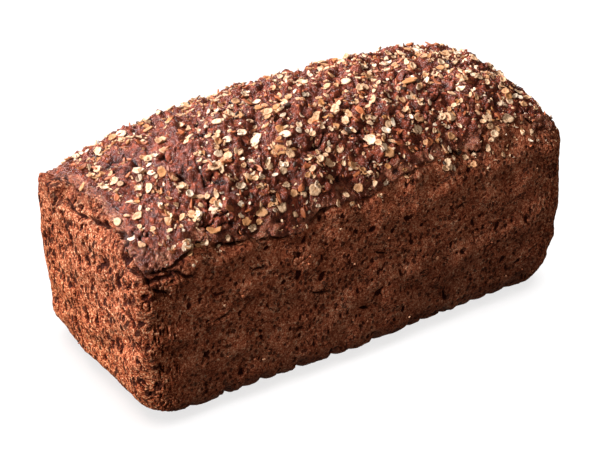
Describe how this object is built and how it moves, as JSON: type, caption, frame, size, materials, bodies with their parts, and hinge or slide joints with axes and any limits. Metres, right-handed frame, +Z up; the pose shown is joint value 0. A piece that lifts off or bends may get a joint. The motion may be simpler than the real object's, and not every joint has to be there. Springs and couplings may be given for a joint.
{
  "type": "tin loaf",
  "caption": "Whole dark rye tin loaf: straight tin-baked walls, a crowned cracked crust with a ragged lip, and rolled oats baked on to the top.",
  "frame": {"origin": "middle of the flat base the loaf rests on", "axes": "+X along the loaf's length, +Z up, +Y across the loaf"},
  "size_m": [0.2636, 0.1174, 0.1335],
  "materials": {
    "crust": "dry matt dark brown rye crust with a faint satin sheen on the crown",
    "oats": "dry matt cream to toasted tan oat flakes",
    "bran": "satin red-brown bran and seed fragments baked into the crust"
  },
  "bodies": {
    "root": {"loaf": "crust"}
  },
  "joints": []
}
